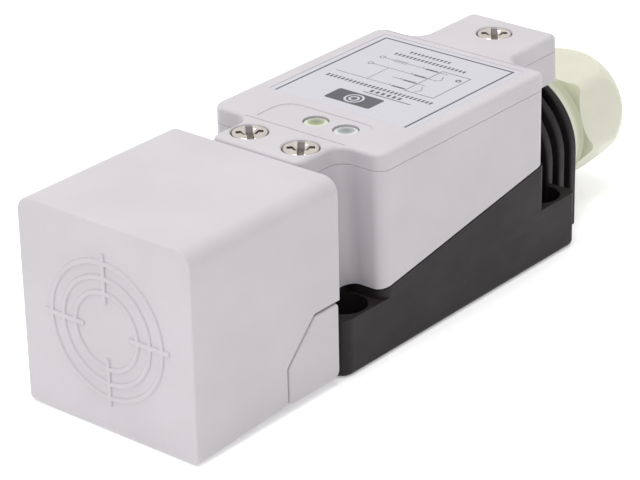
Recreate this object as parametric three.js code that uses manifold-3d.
// Rectangular inductive proximity sensor, 40 x 40 mm, with a turning sensing head,
// a lift-off electronics cover, a terminal base and a Pg 13.5 cable gland.
// Millimetres, +Z up. The origin is on the underside, midway between the four mounting holes.
// The sensing face looks along -Y and the cable gland along +Y.
import * as THREE from 'three';
import { mergeVertices } from 'three/addons/utils/BufferGeometryUtils.js';
import Module from 'manifold-3d';

const wasm = await Module();
wasm.setup();

// ---- driving dimensions ----------------------------------------------------------------

const HALF_WIDTH = 20;
const HEIGHT = 40;
const GAP = 0.3; // play between neighbouring pieces
const FAR = 80; // longer than anything that is cut

const FACE_Y = -76; // raised target on the sensing face
const HEAD_BACK = -37.2;
const NECK_FRONT = -36.5;
const BODY_FRONT = -25.2;
const BODY_BACK = 25.2;
const FOOT_BACK = 35.8;
const COVER_BACK = 42.5;
const BARREL_BACK = 44;

const NECK_HALF = 10.3; // half width of both necks at the top
const NECK_WIDENING = 0.068; // the front neck's flanks lean out by this much per mm going down
const REAR_WIDENING = 0.035;
const LID_LOW = 36.7;
const NECK_LOW = 30.5; // underside of the rear neck, over the ribs of the cable barrel
const WALL = 2.2;

const SPLIT_MID = 17.3; // height of the sloping parting plane over the origin
const SPLIT_TILT = 8.98; // degrees, rising to the rear
const SPLIT_GAP = 0.6;

const FOOT_TOP = 11.5; // floor of the four mounting pockets
const SOLE_EDGE = 1.2; // rounding of the foot's lower edges
const MOUNT_X = 15;
const MOUNT_Y = 30;
const MOUNT_HOLE = 2.65;
const MOUNT_HEAD = 4.3;
const MOUNT_SEAT = 6;

const GLAND_Z = 15.8; // height of the cable entry axis
const ENTRY_RADIUS = 10.5;
const RIB_RADIUS = 14.4;
const BARREL_RADIUS = 12.7;
const RIB_BACKS = [36, 40, 44];
const RIB_WIDTH = 2;

const SCREW_SPOTS = { front_left: [-6, -30.5], front_right: [6, -30.5], rear: [0, 35.7] };
const SCREW_SEAT = 36.7;
const SCREW_HEAD = 3.35;
const INSERT_HOLE = 3.3;
const INSERT_RADIUS = 3;
const INSERT_BORE = 2.3;

const TERMINAL_X = [-10.5, -3.5, 3.5, 10.5];
const CONTACT_Y = -18; // plug pins
const CONTACT_HOLE = 1.15;
const TERMINAL_Y = -10; // wire terminals

const BOARD_LOW = 27; // main board
const BOARD_HIGH = 28.6;
const PARTS_LOW = BOARD_HIGH + GAP;
const LED_SPOTS = { output: [0.4, -19.5], power: [7.3, -19.4] };

const AXIS_Z = 20; // turning axis of the head
const FACE_Z = 20.2; // centre of the sensing face
const TARGET_Z = 19.8;
const TARGET_RADII = [13.3, 10.5, 7.7];
const TARGET_BAND = 0.8;
const RELIEF = 0.4;
const HEAD_LOW = 0.4; // lower front edge of the head

// Corner block under the rear of the head, in its Y-Z section
const BLOCK_FRONT = -51.5;
const BLOCK_BACK = -37.6;
const BLOCK_LOW = 1.5;
const BLOCK_HIGH = 16.2;
const BLOCK_CHAMFER = 7.3;
const BLOCK_GROOVE = 0.6;

const ROUND = 28; // facets of a large round shape
const MEDIUM_ROUND = 18; // facets of a screw head and of the inner rings
const SMALL_ROUND = 12; // facets of a shank or a pin

// ---- finishes ---------------------------------------------------------------------------

const FINISHES = {
  greyPlastic: { color: 0xcfcdd0, roughness: 0.55, metalness: 0 },
  blackPlastic: { color: 0x2b292a, roughness: 0.6, metalness: 0 },
  paleNylon: { color: 0xdbdccb, roughness: 0.45, metalness: 0 },
  rubber: { color: 0x1a1a1a, roughness: 0.85, metalness: 0 },
  nickel: { color: 0xc9c4b8, roughness: 0.28, metalness: 1 },
  brass: { color: 0xc2a14e, roughness: 0.35, metalness: 1 },
  terminalPlastic: { color: 0x5f6b66, roughness: 0.6, metalness: 0 },
  circuitBoard: { color: 0x1f5a34, roughness: 0.5, metalness: 0 },
  chipPlastic: { color: 0x1c1c1e, roughness: 0.5, metalness: 0 },
  ferrite: { color: 0x3a3836, roughness: 0.7, metalness: 0 },
  copper: { color: 0xb5652f, roughness: 0.4, metalness: 1 },
  clearLens: { color: 0xdfe3e0, roughness: 0.15, metalness: 0 },
  yellowLens: { color: 0xe6e27a, roughness: 0.15, metalness: 0 },
  leadSheath: { color: 0x8b2f2a, roughness: 0.6, metalness: 0 },
};

// ---- solids -----------------------------------------------------------------------------

function asSolid(geometry) {
  const bare = geometry.clone();
  bare.deleteAttribute('normal');
  bare.deleteAttribute('uv');
  const merged = mergeVertices(bare, 1e-4);
  const vertProperties = new Float32Array(merged.attributes.position.array);
  const triVerts = new Uint32Array(merged.index.array);
  return new wasm.Manifold(new wasm.Mesh({ numProp: 3, vertProperties, triVerts }));
}

function asGeometry(solid) {
  const mesh = solid.getMesh();
  const geometry = new THREE.BufferGeometry();
  geometry.setAttribute('position', new THREE.BufferAttribute(mesh.vertProperties, 3));
  geometry.setIndex(new THREE.BufferAttribute(mesh.triVerts, 1));
  geometry.computeVertexNormals();
  return geometry;
}

function joined(solids) {
  return solids.reduce((whole, piece) => whole.add(piece));
}

function without(solid, cutters) {
  return cutters.reduce((whole, cutter) => whole.subtract(cutter), solid);
}

// Outline through corners [u, v, radius], each rounded to its radius.
function outline(corners) {
  const shape = new THREE.Shape();
  const count = corners.length;
  const point = (index) => new THREE.Vector2(...corners[(index + count) % count].slice(0, 2));
  corners.forEach(([, , radius = 0], index) => {
    const corner = point(index);
    const back = point(index - 1).sub(corner).normalize();
    const ahead = point(index + 1).sub(corner).normalize();
    const turn = Math.PI - back.angleTo(ahead);
    const run = radius * Math.tan(turn / 2);
    const handle = run - (4 / 3) * radius * Math.tan(turn / 4);
    const start = corner.clone().addScaledVector(back, run);
    const end = corner.clone().addScaledVector(ahead, run);
    const startHandle = corner.clone().addScaledVector(back, handle);
    const endHandle = corner.clone().addScaledVector(ahead, handle);
    if (index === 0) shape.moveTo(start.x, start.y);
    else shape.lineTo(start.x, start.y);
    if (radius > 0) {
      shape.bezierCurveTo(startHandle.x, startHandle.y, endHandle.x, endHandle.y, end.x, end.y);
    }
  });
  shape.closePath();
  return shape;
}

// Outline with the same corners on both sides of the middle plane.
function mirrored(rightCorners) {
  const leftCorners = rightCorners.map(([u, v, radius]) => [-u, v, radius]).reverse();
  return outline([...rightCorners, ...leftCorners]);
}

function rectangle(u0, u1, v0, v1, radius = 0) {
  return outline([[u0, v0, radius], [u1, v0, radius], [u1, v1, radius], [u0, v1, radius]]);
}

const ALONG_X = new THREE.Matrix4().makeBasis(
  new THREE.Vector3(0, 1, 0), new THREE.Vector3(0, 0, 1), new THREE.Vector3(1, 0, 0));
const ALONG_Y = new THREE.Matrix4().makeBasis(
  new THREE.Vector3(1, 0, 0), new THREE.Vector3(0, 0, 1), new THREE.Vector3(0, -1, 0));

// Prism of an outline between two heights along x (outline in Y, Z), y (in X, Z) or z (in X, Y).
function prism(axis, shape, low, high, bevel = 0, curveSegments = 4) {
  const geometry = new THREE.ExtrudeGeometry(shape, {
    depth: high - low - 2 * bevel,
    curveSegments,
    bevelEnabled: bevel > 0,
    bevelThickness: bevel,
    bevelSize: bevel,
    bevelOffset: -bevel,
    bevelSegments: 2,
  });
  geometry.translate(0, 0, bevel);
  if (axis === 'x') geometry.applyMatrix4(ALONG_X).translate(low, 0, 0);
  if (axis === 'y') geometry.applyMatrix4(ALONG_Y).translate(0, high, 0);
  if (axis === 'z') geometry.translate(0, 0, low);
  return asSolid(geometry);
}

function box(x0, x1, y0, y1, z0, z1) {
  const geometry = new THREE.BoxGeometry(x1 - x0, y1 - y0, z1 - z0);
  geometry.translate((x0 + x1) / 2, (y0 + y1) / 2, (z0 + z1) / 2);
  return asSolid(geometry);
}

// Round rod about z through (a, b) = (x, y), or about y through (a, b) = (x, z).
function rod(axis, a, b, radius, low, high, facets = SMALL_ROUND) {
  const geometry = new THREE.CylinderGeometry(radius, radius, high - low, facets);
  geometry.translate(0, (low + high) / 2, 0);
  if (axis === 'z') geometry.rotateX(Math.PI / 2).translate(a, b, 0);
  if (axis === 'y') geometry.translate(a, 0, b);
  return asSolid(geometry);
}

function ring(axis, a, b, inner, outer, low, high, facets = SMALL_ROUND) {
  const hole = rod(axis, a, b, inner, low - 1, high + 1, facets);
  return rod(axis, a, b, outer, low, high, facets).subtract(hole);
}

// Ring turned about the Y direction through height z, from its [radius, y] section.
function turned(section, z, facets = ROUND) {
  const points = [...section, section[0]].map(([radius, y]) => new THREE.Vector2(radius, y));
  return asSolid(new THREE.LatheGeometry(points, facets).translate(0, 0, z));
}

// Puts a solid made on the level plane z = 0 on the sloping parting plane.
function onSplit(solid) {
  return solid.rotate([SPLIT_TILT, 0, 0]).translate([0, 0, SPLIT_MID]);
}

// Puts a solid made along +Z from the origin on the corner block's slanted face, looking into the head.
function onSlant(solid) {
  const half = BLOCK_CHAMFER / 2;
  return solid.rotate([45, 0, 0]).translate([0, BLOCK_FRONT + half, BLOCK_HIGH - half]);
}

const wideSlab = (low, high) => box(-FAR, FAR, -FAR, FAR, low, high);
const underSplit = onSplit(wideSlab(-FAR, -SPLIT_GAP / 2));
const overSplit = onSplit(wideSlab(SPLIT_GAP / 2, FAR));

// ---- base -------------------------------------------------------------------------------

function cableBarrel() {
  const arch = (radius, front, back) => joined([
    rod('y', 0, GLAND_Z, radius, front, back, ROUND),
    box(-radius, radius, front, back, 0, GLAND_Z),
  ]);
  const ribs = RIB_BACKS.map((back) => arch(RIB_RADIUS, back - RIB_WIDTH, back));
  return joined([arch(BARREL_RADIUS, RIB_BACKS[0] - RIB_WIDTH, BARREL_BACK), ...ribs]);
}

function baseBlocks() {
  const lowNeck = NECK_HALF + NECK_WIDENING * (HEIGHT - FOOT_TOP);
  const foot = mirrored([[HALF_WIDTH, NECK_FRONT, 2.8], [HALF_WIDTH, FOOT_BACK, 1.6]]);
  const body = mirrored([[HALF_WIDTH, BODY_FRONT, 2.6], [HALF_WIDTH, BODY_BACK, 1.6]]);
  const sole = prism('z', foot, 0, FOOT_TOP + SOLE_EDGE, SOLE_EDGE).intersect(wideSlab(0, FOOT_TOP));
  const rising = joined([
    prism('z', body, SOLE_EDGE, HEIGHT),
    box(-lowNeck, lowNeck, NECK_FRONT + 0.4, BODY_FRONT + 4, SOLE_EDGE, HEIGHT),
  ]).intersect(underSplit);
  const rearNeck = box(-NECK_HALF, NECK_HALF, BODY_BACK + GAP, 34.4, SOLE_EDGE, NECK_LOW - GAP);
  const screwTower = rod('z', ...SCREW_SPOTS.rear, 4.2, 24, 33.9);
  return joined([sole, rising, rearNeck, cableBarrel(), screwTower]);
}

function baseShell() {
  const mounts = [-1, 1].flatMap((side) => [-1, 1].flatMap((end) => [
    rod('z', side * MOUNT_X, end * MOUNT_Y, MOUNT_HOLE, -1, FAR, MEDIUM_ROUND),
    rod('z', side * MOUNT_X, end * MOUNT_Y, MOUNT_HEAD, MOUNT_SEAT, 24, 24),
  ]));
  const compartment = prism('z', rectangle(-17, 17, -22.2, 22.2, 3), 2.6, 21.1);
  return without(baseBlocks(), [
    compartment,
    prism('y', rectangle(-8, 8, 6, 20.3, 2), 20, 36),
    rod('y', 0, GLAND_Z, ENTRY_RADIUS, 34.8, 60, ROUND),
    rod('y', 0, GLAND_Z, BARREL_RADIUS - 0.1, BARREL_BACK - 1.2, 60, ROUND),
    rod('z', ...SCREW_SPOTS.front_left, INSERT_HOLE, 4, 30),
    rod('z', ...SCREW_SPOTS.front_right, INSERT_HOLE, 4, 30),
    rod('z', ...SCREW_SPOTS.rear, INSERT_HOLE, 28, 50),
    sealLoop(17.7, 19.3, -1.3, 1),
    ...mounts,
  ]);
}

// Loop round the base rim, on the parting plane, between two half widths.
function sealLoop(inner, outer, low, high) {
  const lengthOver = BODY_BACK / Math.cos(THREE.MathUtils.degToRad(SPLIT_TILT)) - HALF_WIDTH;
  const loop = (half) => rectangle(-half, half, -half - lengthOver, half + lengthOver, 2);
  return onSplit(prism('z', loop(outer), low, high).subtract(prism('z', loop(inner), low - 1, high + 1)));
}

const threadedInsert = (x, y, low, high) => ring('z', x, y, INSERT_BORE, INSERT_RADIUS, low, high);

// ---- terminals --------------------------------------------------------------------------

function terminalBlock() {
  const channels = TERMINAL_X.map((x) => box(x - 2.7, x + 2.7, -19.9, 0, 5.4, 20));
  return without(box(-14.8, 14.8, -20.9, -3, 2.9, 13), channels);
}

const RAIL_HALF = 2.3; // half width of a contact rail and of its clamp
const CLAMP_HOLE = 1.85;

function contactRail(x) {
  const bar = box(x - RAIL_HALF, x + RAIL_HALF, -19.6, -6, 5.7, 8.7);
  return without(bar, [
    rod('z', x, CONTACT_Y, CONTACT_HOLE, 0, 20),
    rod('z', x, TERMINAL_Y, CLAMP_HOLE, 0, 20),
  ]);
}

function wireClamp(x) {
  const plate = box(x - RAIL_HALF, x + RAIL_HALF, TERMINAL_Y - 2.6, TERMINAL_Y + 2.6, 10.2, 11.2);
  return plate.subtract(rod('z', x, TERMINAL_Y, CLAMP_HOLE, 0, 20));
}

// Pan head screw along z with a cross and slot recess; the head's underside is at z = 0.
function recessScrew(headRadius, headHeight, shankRadius, shankLength) {
  const slot = headRadius * 0.8;
  const cross = headRadius * 0.5;
  const head = without(rod('z', 0, 0, headRadius, 0, headHeight, MEDIUM_ROUND), [
    box(-slot, slot, -0.45, 0.45, headHeight - 0.9, headHeight + 1),
    box(-0.45, 0.45, -cross, cross, headHeight - 0.9, headHeight + 1),
  ]);
  return head.add(rod('z', 0, 0, shankRadius, -shankLength, 0.1));
}

function terminalScrew(x) {
  return recessScrew(2.35, 1.8, 1.5, 5.2).translate([x, TERMINAL_Y, 11.5]);
}

// ---- cable gland ------------------------------------------------------------------------

const FLANGE_BACK = 45.5;
const COLLAR_BACK = 49.7;
const THREAD_RADIUS = 10.2;
const THREAD_END = 58;
const NUT_FRONT = 50;
const NUT_BACK = 66;
const NUT_FLATS = 11.5; // half the 23 mm across flats
const NUT_CLOCK = 47; // degrees from +X to one corner of the hexagon

function glandBody() {
  return turned([
    [7.5, 35.2], [10.2, 35.2], [10.2, BARREL_BACK + GAP], [13.6, BARREL_BACK + GAP],
    [13.6, FLANGE_BACK - 0.4], [13.2, FLANGE_BACK], [12.2, FLANGE_BACK], [12.2, COLLAR_BACK],
    [THREAD_RADIUS, COLLAR_BACK], [THREAD_RADIUS, THREAD_END], [9.3, THREAD_END], [9.3, 48.8], [7.5, 48.8],
  ], GLAND_Z);
}

function glandNut() {
  const corner = NUT_FLATS / Math.cos(Math.PI / 6);
  const hexagon = outline([0, 60, 120, 180, 240, 300].map((step) => {
    const angle = THREE.MathUtils.degToRad(NUT_CLOCK + step);
    return [corner * Math.cos(angle), GLAND_Z + corner * Math.sin(angle), 0];
  }));
  const threadRoom = THREAD_RADIUS + GAP;
  const envelope = turned([
    [threadRoom, NUT_FRONT], [11.9, NUT_FRONT], [13.4, NUT_FRONT + 2], [13.4, 58.5], [12.9, 60.9],
    [12.2, 63], [11.3, 65], [10.6, NUT_BACK], [6.6, NUT_BACK], [6.6, 60], [threadRoom, 60],
  ], GLAND_Z, 36);
  return prism('y', hexagon, NUT_FRONT, NUT_BACK).intersect(envelope);
}

const glandWasher = () => ring('y', 0, GLAND_Z, 10.8, 12.3, 43.1, BARREL_BACK, 24);
const glandSeal = () => ring('y', 0, GLAND_Z, 5.6, 9, 49.1, 57.6, 24);
const glandThrustRing = () => ring('y', 0, GLAND_Z, 6.2, 10.1, 58.3, 59.6, 24);

// ---- cover ------------------------------------------------------------------------------

const coverPlan = mirrored([
  [NECK_HALF, NECK_FRONT, 1.2], [NECK_HALF, BODY_FRONT, 3], [HALF_WIDTH, BODY_FRONT, 2.6],
  [HALF_WIDTH, BODY_BACK, 2.6], [NECK_HALF, BODY_BACK, 3], [NECK_HALF, COVER_BACK, 1.3],
]);

// Leans the flanks of both necks outwards going down, fading to nothing at the full width.
function leanNecks(solid) {
  return solid.warp((point) => {
    const side = Math.abs(point[0]);
    const inside = side / NECK_HALF;
    const outside = (HALF_WIDTH - side) / (HALF_WIDTH - NECK_HALF);
    const share = Math.max(0, Math.min(inside, outside));
    const widening = point[1] < 0 ? NECK_WIDENING : REAR_WIDENING;
    point[0] += Math.sign(point[0]) * share * widening * (HEIGHT - point[2]);
  });
}

function coverShell() {
  const skin = leanNecks(prism('z', coverPlan, 8, LID_LOW - GAP)).intersect(overSplit);
  const room = rectangle(-17.8, 17.8, -22.8, 22.8, 2);
  const hollow = without(skin, [
    box(-FAR, FAR, BODY_BACK, FAR, 0, NECK_LOW),
    prism('z', room, 0, 21.5),
    prism('z', room, 23.5, FAR),
    box(-8.2, 8.2, -34.7, -26.4, 0, 34.2),
    box(-3, 3, -28, -20, 26, 31),
    box(-7.5, 7.5, 27.4, 40.3, 0, 34.2),
    rod('y', 0, AXIS_Z, 5.3, -40, -30, MEDIUM_ROUND),
    rod('y', 0, AXIS_Z, 7.2, -40, -35.6, MEDIUM_ROUND),
    ...Object.values(SCREW_SPOTS).map(([x, y]) => rod('z', x, y, 2.4, 30, 50)),
    ...TERMINAL_X.map((x) => rod('z', x, CONTACT_Y, 1.2, 20, 25)),
  ]);
  const posts = [-15.2, 15.2].flatMap((x) => [-19.8, 19.8].map((y) => rod('z', x, y, 1.8, 23, 26.7)));
  return joined([hollow, ...posts]);
}

function coverLid() {
  const plate = prism('z', coverPlan, LID_LOW - 8, HEIGHT, 0.8).intersect(wideSlab(LID_LOW, FAR));
  const ledArea = outline([[-10, -24.4, 1], [12.4, -24.4, 1], [12.4, -15.4, 3.8], [-10, -15.4, 3.8]]);
  const grooves = [BODY_FRONT, 24.2].map((y) => box(-FAR, FAR, y - 0.18, y + 0.18, HEIGHT - 0.3, FAR));
  return without(plate, [
    prism('z', ledArea, HEIGHT - 0.3, FAR),
    ...grooves,
    ...Object.values(SCREW_SPOTS).map(([x, y]) => rod('z', x, y, SCREW_HEAD + GAP, 30, 50, 24)),
    ...Object.values(LED_SPOTS).map(([x, y]) => rod('z', x, y, 2.5, 30, 50, MEDIUM_ROUND)),
  ]);
}

function ledWindow([x, y]) {
  return rod('z', x, y, 2.2, 36, 39.7, MEDIUM_ROUND).add(rod('z', x, y, 3, 35.5, 36.4, MEDIUM_ROUND));
}

function ledBody([x, y]) {
  const dome = asSolid(new THREE.SphereGeometry(1.5, SMALL_ROUND, 6).translate(x, y, 33.4));
  return joined([rod('z', x, y, 1.9, PARTS_LOW, 29.9), rod('z', x, y, 1.5, 29.5, 33.4), dome]);
}

function mainBoard() {
  const plate = prism('z', rectangle(-16.8, 16.8, -21.8, 21.8, 1), BOARD_LOW, BOARD_HIGH);
  return without(plate, TERMINAL_X.map((x) => rod('z', x, CONTACT_Y, 1.1, 20, 40)));
}

function pinHeader() {
  const bar = box(-12.3, 12.3, CONTACT_Y - 2.2, CONTACT_Y + 2.2, 23.8, BOARD_LOW - GAP);
  return without(bar, TERMINAL_X.map((x) => rod('z', x, CONTACT_Y, 1.1, 20, 40)));
}

const plugPin = (x) => rod('z', x, CONTACT_Y, 0.75, 6.4, 30);

function coverScrew([x, y], shankLength) {
  return recessScrew(SCREW_HEAD, 3, 2, shankLength).translate([x, y, SCREW_SEAT]);
}

// ---- turning corner block -----------------------------------------------------------------

// Section of the corner block, or of the notch that it leaves in the head when grown.
function blockSection(grow, cornerRadius) {
  const slant = BLOCK_CHAMFER + grow * (2 - Math.SQRT2);
  const front = BLOCK_FRONT - grow;
  const high = BLOCK_HIGH + grow;
  const back = grow > 0 ? FAR : BLOCK_BACK;
  const low = grow > 0 ? -FAR : BLOCK_LOW;
  return outline([
    [front, low, cornerRadius], [back, low, cornerRadius * 2], [back, high, cornerRadius],
    [front + slant, high, cornerRadius], [front, high - slant, cornerRadius],
  ]);
}

function swivelBracket() {
  const block = prism('x', blockSection(0, 1), -HALF_WIDTH, HALF_WIDTH, 0.6);
  const tongue = prism('y', rectangle(-8, 8, 8, 27.2, 3), -43.8, BLOCK_BACK);
  const spigot = [
    rod('y', 0, AXIS_Z, 5, -40, -34.5, MEDIUM_ROUND),
    rod('y', 0, AXIS_Z, 4, -40, -32.9, MEDIUM_ROUND),
    rod('y', 0, AXIS_Z, 5, -33.3, -32.9, MEDIUM_ROUND),
  ];
  return without(joined([block, tongue, ...spigot]), [
    rod('y', 0, AXIS_Z, 3, -60, -20),
    onSlant(rod('z', 0, 0, 2.3, -30, 10)),
    onSlant(rod('z', 0, 0, 4.2, -30, -8)),
  ]);
}

function retainingRing() {
  const washer = ring('y', 0, AXIS_Z, 4.3, 7, -34.2, -33.6, MEDIUM_ROUND);
  return washer.subtract(box(-1.5, 1.5, -40, -30, 10, AXIS_Z));
}

function swivelSeal() {
  const section = [];
  for (let step = 0; step < 6; step += 1) {
    const angle = (Math.PI * step) / 3;
    section.push([6.15 + 0.65 * Math.cos(angle), -36.6 + 0.65 * Math.sin(angle)]);
  }
  return turned(section, AXIS_Z, MEDIUM_ROUND);
}

function headClampScrew() {
  const screw = recessScrew(3.6, 2.6, 2, 13.6).rotate([180, 0, 0]);
  return onSlant(screw.translate([0, 0, -8.3]));
}

function coilLeads() {
  const path = new THREE.LineCurve3(new THREE.Vector3(0, -44, AXIS_Z), new THREE.Vector3(0, -32.4, AXIS_Z));
  const section = new THREE.Shape().absarc(0, 0, 1.7, 0, 2 * Math.PI);
  return asSolid(new THREE.ExtrudeGeometry(section, { steps: 6, curveSegments: 5, extrudePath: path }));
}

// ---- sensing head -------------------------------------------------------------------------

function targetRelief() {
  const low = FACE_Y;
  const high = FACE_Y + RELIEF + 0.3;
  const rings = TARGET_RADII.map((outer) => turned([
    [outer - TARGET_BAND, low], [outer, low], [outer, high], [outer - TARGET_BAND, high],
  ], TARGET_Z, 32));
  const tick = box(5.1, 14.6, low, high, -TARGET_BAND / 2, TARGET_BAND / 2);
  const ticks = [0, 90, 180, 270].map((angle) => tick.rotate([0, angle, 0]).translate([0, 0, TARGET_Z]));
  return joined([...rings, ...ticks]);
}

// The underside rises from the front edge to the height of the corner block.
function headHousing() {
  const square = mirrored([[HALF_WIDTH, HEAD_LOW, 0.8], [HALF_WIDTH, HEIGHT, 3]]);
  const cube = prism('y', square, FACE_Y + RELIEF, HEAD_BACK, 0.4);
  const underside = outline([
    [-FAR, HEAD_LOW], [FACE_Y, HEAD_LOW], [BLOCK_FRONT, BLOCK_LOW], [BLOCK_FRONT, -FAR], [-FAR, -FAR],
  ]);
  return without(joined([cube, targetRelief()]), [
    prism('x', underside, -FAR, FAR),
    prism('y', rectangle(-18.1, 18.1, 3.3, 38.1, 1), FACE_Y + WALL, FAR),
    prism('x', blockSection(BLOCK_GROOVE, 0), -FAR, FAR),
  ]);
}

function headBackPlate() {
  const step = prism('x', rectangle(-54.1, -37.6, 3.6, 37.8), -17.8, 17.8);
  const front = prism('x', outline([
    [-60, 0], [-54.1, 0], [-54.1, 9.98], [-45.28, 18.8], [-39.6, 18.8], [-39.6, FAR], [-60, FAR],
  ]), -FAR, FAR);
  const pocketWalls = box(-10.2, 10.2, -46.2, -38, 17, 29.6);
  const insertBoss = onSlant(rod('z', 0, 0, 5, 1.5, 8.3));
  return without(joined([step.subtract(front), pocketWalls, insertBoss]), [
    prism('x', blockSection(BLOCK_GROOVE, 0), -FAR, FAR),
    box(-8.6, 8.6, -44.4, FAR, 10, 27.8),
    rod('y', 0, AXIS_Z, 2.2, -50, -40),
    onSlant(rod('z', 0, 0, 3.3, -5, 7.2)),
  ]);
}

function ferriteCore() {
  return turned([
    [2.2, -73.3], [6.8, -73.3], [6.8, -67.3], [13.2, -67.3], [13.2, -73.3], [15.5, -73.3],
    [15.5, -64.8], [2.2, -64.8],
  ], FACE_Z, MEDIUM_ROUND);
}

function coilBobbin() {
  return turned([
    [7.1, -73.1], [12.9, -73.1], [12.9, -72.5], [7.9, -72.5], [7.9, -68.2], [12.9, -68.2],
    [12.9, -67.6], [7.1, -67.6],
  ], FACE_Z, MEDIUM_ROUND);
}

const coilWinding = () => ring('y', 0, FACE_Z, 8.2, 12.6, -72.2, -68.5, MEDIUM_ROUND);
const headBoard = () => prism('y', rectangle(-15, 15, 5.5, 35, 2), -62, -60.8);
const clampInsert = () => onSlant(ring('z', 0, 0, INSERT_BORE, INSERT_RADIUS, 0.9, 6.9));

// ---- assembly -------------------------------------------------------------------------------

function addPiece(group, name, solid, finish) {
  const mesh = new THREE.Mesh(asGeometry(solid), new THREE.MeshStandardMaterial(FINISHES[finish]));
  mesh.name = name;
  group.add(mesh);
}

function baseGroup() {
  const group = new THREE.Group();
  addPiece(group, 'base_shell', baseShell(), 'blackPlastic');
  addPiece(group, 'base_gasket', sealLoop(18, 19, -1, 0), 'rubber');
  addPiece(group, 'insert_front_left', threadedInsert(...SCREW_SPOTS.front_left, 4.4, 11), 'brass');
  addPiece(group, 'insert_front_right', threadedInsert(...SCREW_SPOTS.front_right, 4.4, 11), 'brass');
  addPiece(group, 'insert_rear', threadedInsert(...SCREW_SPOTS.rear, 28.4, 33.8), 'brass');
  addPiece(group, 'terminal_block', terminalBlock(), 'terminalPlastic');
  TERMINAL_X.forEach((x, index) => {
    addPiece(group, `contact_rail_${index + 1}`, contactRail(x), 'brass');
    addPiece(group, `wire_clamp_${index + 1}`, wireClamp(x), 'nickel');
    addPiece(group, `terminal_screw_${index + 1}`, terminalScrew(x), 'nickel');
  });
  return group;
}

function glandGroup() {
  const group = new THREE.Group();
  addPiece(group, 'gland_body', glandBody(), 'paleNylon');
  addPiece(group, 'gland_washer', glandWasher(), 'rubber');
  addPiece(group, 'gland_seal', glandSeal(), 'rubber');
  addPiece(group, 'gland_thrust_ring', glandThrustRing(), 'paleNylon');
  addPiece(group, 'gland_nut', glandNut(), 'paleNylon');
  return group;
}

function coverGroup() {
  const group = new THREE.Group();
  addPiece(group, 'cover_shell', coverShell(), 'greyPlastic');
  addPiece(group, 'cover_lid', coverLid(), 'greyPlastic');
  addPiece(group, 'led_window_output', ledWindow(LED_SPOTS.output), 'yellowLens');
  addPiece(group, 'led_window_power', ledWindow(LED_SPOTS.power), 'clearLens');
  addPiece(group, 'led_output', ledBody(LED_SPOTS.output), 'yellowLens');
  addPiece(group, 'led_power', ledBody(LED_SPOTS.power), 'clearLens');
  addPiece(group, 'main_board', mainBoard(), 'circuitBoard');
  addPiece(group, 'evaluation_chip', box(-5, 5, -7, -3, PARTS_LOW, 30.7), 'chipPlastic');
  addPiece(group, 'output_switch', box(6, 12.5, 8, 15, PARTS_LOW, 30.9), 'chipPlastic');
  addPiece(group, 'surge_capacitor', rod('z', -9, 10, 3.15, PARTS_LOW, 35.6, MEDIUM_ROUND), 'nickel');
  addPiece(group, 'pin_header', pinHeader(), 'chipPlastic');
  TERMINAL_X.forEach((x, index) => addPiece(group, `plug_pin_${index + 1}`, plugPin(x), 'brass'));
  addPiece(group, 'cover_screw_front_left', coverScrew(SCREW_SPOTS.front_left, 31), 'nickel');
  addPiece(group, 'cover_screw_front_right', coverScrew(SCREW_SPOTS.front_right, 31), 'nickel');
  addPiece(group, 'cover_screw_rear', coverScrew(SCREW_SPOTS.rear, 7.6), 'nickel');
  return group;
}

function turretGroup() {
  const group = new THREE.Group();
  addPiece(group, 'swivel_bracket', swivelBracket(), 'greyPlastic');
  addPiece(group, 'swivel_seal', swivelSeal(), 'rubber');
  addPiece(group, 'retaining_ring', retainingRing(), 'nickel');
  addPiece(group, 'coil_leads', coilLeads(), 'leadSheath');
  addPiece(group, 'head_clamp_screw', headClampScrew(), 'nickel');
  return group;
}

function headGroup() {
  const group = new THREE.Group();
  addPiece(group, 'head_housing', headHousing(), 'greyPlastic');
  addPiece(group, 'head_back_plate', headBackPlate(), 'greyPlastic');
  addPiece(group, 'clamp_insert', clampInsert(), 'brass');
  addPiece(group, 'ferrite_core', ferriteCore(), 'ferrite');
  addPiece(group, 'coil_bobbin', coilBobbin(), 'paleNylon');
  addPiece(group, 'coil_winding', coilWinding(), 'copper');
  addPiece(group, 'head_board', headBoard(), 'circuitBoard');
  addPiece(group, 'oscillator_chip', box(-3, 3, -60.5, -58.8, 26, 31), 'chipPlastic');
  return group;
}

const sensor = new THREE.Group();
sensor.add(baseGroup(), glandGroup(), coverGroup(), turretGroup(), headGroup());

export default sensor;
